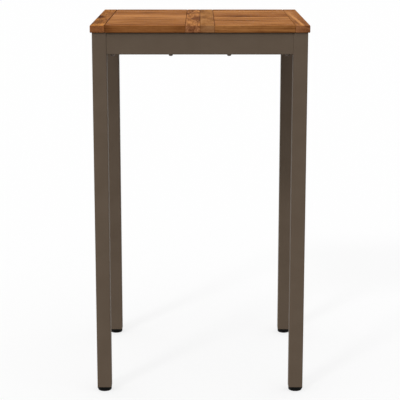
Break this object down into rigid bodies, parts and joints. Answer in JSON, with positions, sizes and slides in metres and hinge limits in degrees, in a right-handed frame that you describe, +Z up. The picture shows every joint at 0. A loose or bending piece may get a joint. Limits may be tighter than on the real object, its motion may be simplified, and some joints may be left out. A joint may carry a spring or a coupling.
{
  "type": "bar-height patio table",
  "caption": "Square bar-height outdoor table: slatted hardwood top in two halves on a taupe steel frame with square legs, aprons and levelling glides.",
  "frame": {"origin": "on the floor, under the middle of the top", "axes": "+Z up, +X to the right of someone who faces the front, -Y towards the front"},
  "size_m": [0.6, 0.6, 1.05],
  "materials": {
    "oiled_hardwood": "oiled red-brown hardwood, satin",
    "taupe_powder_coat": "fine-textured matt powder coat, taupe",
    "black_plastic": "moulded black plastic, matt",
    "black_zinc_steel": "black zinc plated steel",
    "zinc_plated_steel": "bright zinc plated steel"
  },
  "bodies": {
    "table": {"left_outer_stile": "oiled_hardwood", "left_inner_stile": "oiled_hardwood", "left_slat_01": "oiled_hardwood", "left_slat_02": "oiled_hardwood", "left_slat_03": "oiled_hardwood", "left_slat_04": "oiled_hardwood", "left_slat_05": "oiled_hardwood", "left_slat_06": "oiled_hardwood", "left_slat_07": "oiled_hardwood", "left_slat_08": "oiled_hardwood", "left_slat_09": "oiled_hardwood", "left_slat_10": "oiled_hardwood", "right_outer_stile": "oiled_hardwood", "right_inner_stile": "oiled_hardwood", "right_slat_01": "oiled_hardwood", "right_slat_02": "oiled_hardwood", "right_slat_03": "oiled_hardwood", "right_slat_04": "oiled_hardwood", "right_slat_05": "oiled_hardwood", "right_slat_06": "oiled_hardwood", "right_slat_07": "oiled_hardwood", "right_slat_08": "oiled_hardwood", "right_slat_09": "oiled_hardwood", "right_slat_10": "oiled_hardwood", "centre_batten": "oiled_hardwood", "front_left_leg": "taupe_powder_coat", "front_right_leg": "taupe_powder_coat", "back_right_leg": "taupe_powder_coat", "back_left_leg": "taupe_powder_coat", "front_apron": "taupe_powder_coat", "back_apron": "taupe_powder_coat", "left_apron": "taupe_powder_coat", "right_apron": "taupe_powder_coat", "front_left_spigots": "taupe_powder_coat", "front_right_spigots": "taupe_powder_coat", "back_right_spigots": "taupe_powder_coat", "back_left_spigots": "taupe_powder_coat", "front_left_plug": "black_plastic", "front_right_plug": "black_plastic", "back_right_plug": "black_plastic", "back_left_plug": "black_plastic", "corner_bolts": "black_zinc_steel", "panel_bolts": "black_zinc_steel", "batten_screws": "zinc_plated_steel", "corner_nuts": "zinc_plated_steel", "panel_insert_nuts": "zinc_plated_steel", "stem_nuts": "zinc_plated_steel"},
    "front_left_screw": {"front_left_stem": "zinc_plated_steel"},
    "front_left_foot": {"front_left_glide": "black_plastic"},
    "front_right_screw": {"front_right_stem": "zinc_plated_steel"},
    "front_right_foot": {"front_right_glide": "black_plastic"},
    "back_right_screw": {"back_right_stem": "zinc_plated_steel"},
    "back_right_foot": {"back_right_glide": "black_plastic"},
    "back_left_screw": {"back_left_stem": "zinc_plated_steel"},
    "back_left_foot": {"back_left_glide": "black_plastic"}
  },
  "joints": [
    {"name": "front_left_rise", "type": "slide", "parent": "table", "child": "front_left_screw", "axis": [0, 0, 1], "range_m": [-0.01, 0]},
    {"name": "front_left_turn", "type": "hinge", "parent": "front_left_screw", "child": "front_left_foot", "pos_m": [-0.275, -0.275, 0], "axis": [0, 0, 1], "range_deg": [-2880, 0]},
    {"name": "front_right_rise", "type": "slide", "parent": "table", "child": "front_right_screw", "axis": [0, 0, 1], "range_m": [-0.01, 0]},
    {"name": "front_right_turn", "type": "hinge", "parent": "front_right_screw", "child": "front_right_foot", "pos_m": [0.275, -0.275, 0], "axis": [0, 0, 1], "range_deg": [-2880, 0]},
    {"name": "back_right_rise", "type": "slide", "parent": "table", "child": "back_right_screw", "axis": [0, 0, 1], "range_m": [-0.01, 0]},
    {"name": "back_right_turn", "type": "hinge", "parent": "back_right_screw", "child": "back_right_foot", "pos_m": [0.275, 0.275, 0], "axis": [0, 0, 1], "range_deg": [-2880, 0]},
    {"name": "back_left_rise", "type": "slide", "parent": "table", "child": "back_left_screw", "axis": [0, 0, 1], "range_m": [-0.01, 0]},
    {"name": "back_left_turn", "type": "hinge", "parent": "back_left_screw", "child": "back_left_foot", "pos_m": [-0.275, 0.275, 0], "axis": [0, 0, 1], "range_deg": [-2880, 0]}
  ],
  "couplings": [
    {"joint": "front_left_rise", "follows": "front_left_turn", "m_per_rad": 0.00019894},
    {"joint": "front_right_rise", "follows": "front_right_turn", "m_per_rad": 0.00019894},
    {"joint": "back_right_rise", "follows": "back_right_turn", "m_per_rad": 0.00019894},
    {"joint": "back_left_rise", "follows": "back_left_turn", "m_per_rad": 0.00019894}
  ]
}
